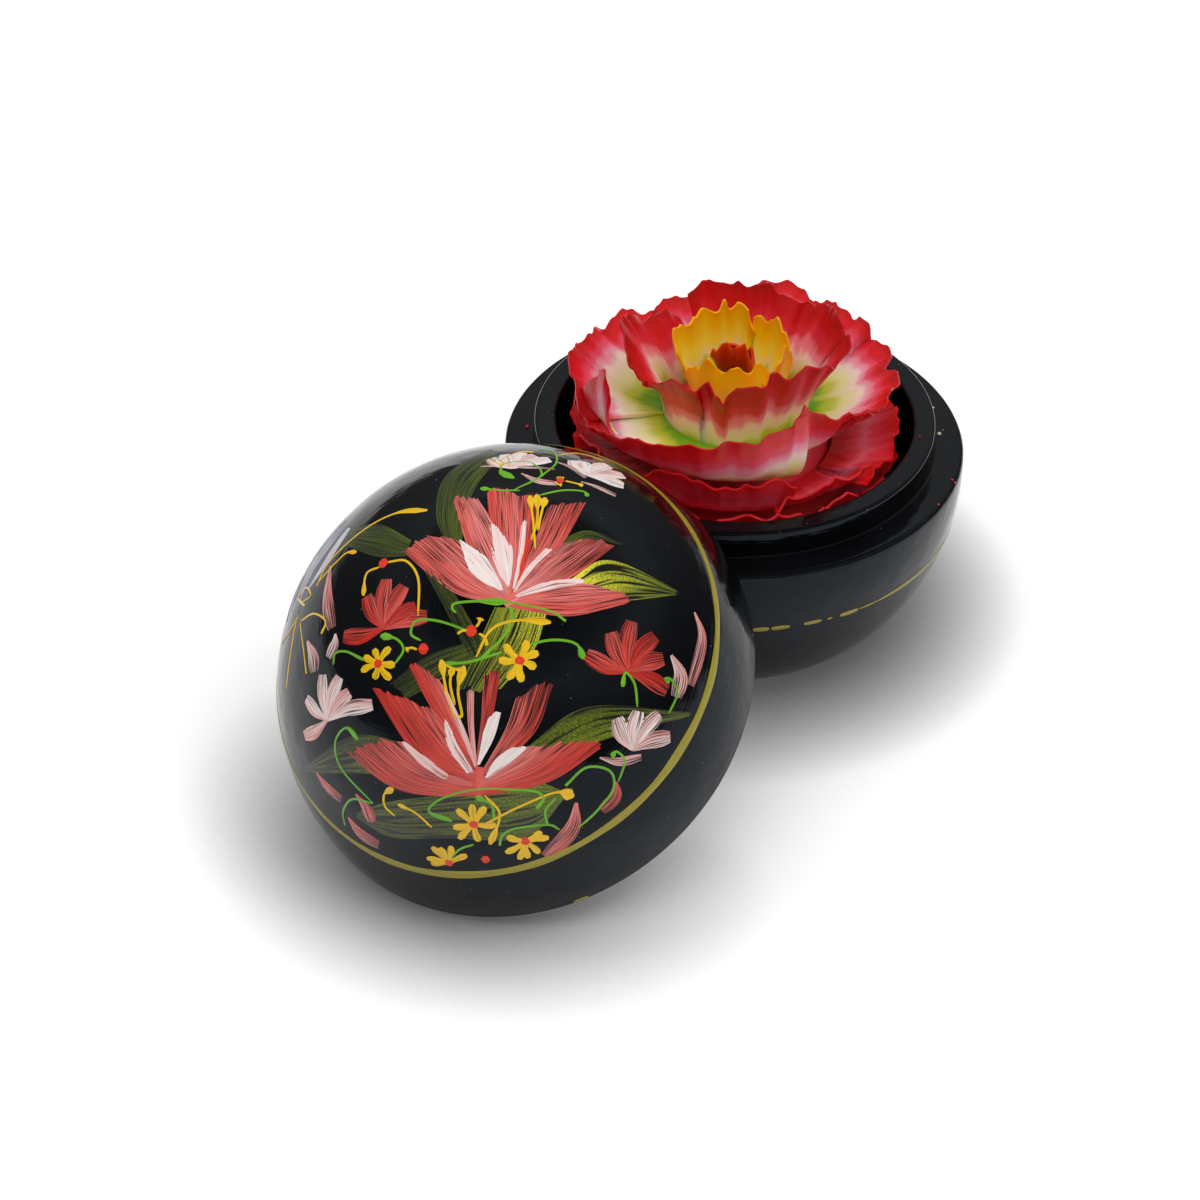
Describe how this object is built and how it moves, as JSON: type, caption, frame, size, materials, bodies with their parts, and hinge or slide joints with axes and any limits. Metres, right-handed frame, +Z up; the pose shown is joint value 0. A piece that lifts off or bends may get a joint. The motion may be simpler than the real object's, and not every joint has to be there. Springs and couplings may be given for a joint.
{
  "type": "lacquer box",
  "caption": "Ball-shaped lacquered wooden box, open: deep round bowl with a raised ring, domed lid leaning on it, carved soap flower inside.",
  "frame": {"origin": "middle of the bowl's flat base, on the table", "axes": "+Z up along the bowl's axis; -Y towards the side from which the box is usually seen, +X to that viewer's right"},
  "size_m": [0.1599, 0.1817, 0.0838],
  "materials": {
    "lacquered_bowl": "turned wood under gloss black lacquer",
    "lacquered_lid": "turned wood under gloss black lacquer, hand painted",
    "carved_soap": "smooth carved soap, dyed red to cream"
  },
  "bodies": {
    "bowl": {"bowl": "lacquered_bowl"},
    "lid": {"lid": "lacquered_lid"},
    "flower": {"soap_flower": "carved_soap"}
  },
  "joints": [
    {"name": "lid_lift", "type": "slide", "parent": "bowl", "child": "lid", "axis": [-0.3033, -0.4364, 0.8471], "range_m": [0, 0.1]},
    {"name": "flower_lift", "type": "slide", "parent": "bowl", "child": "flower", "axis": [0, 0, 1], "range_m": [0, 0.08]}
  ]
}
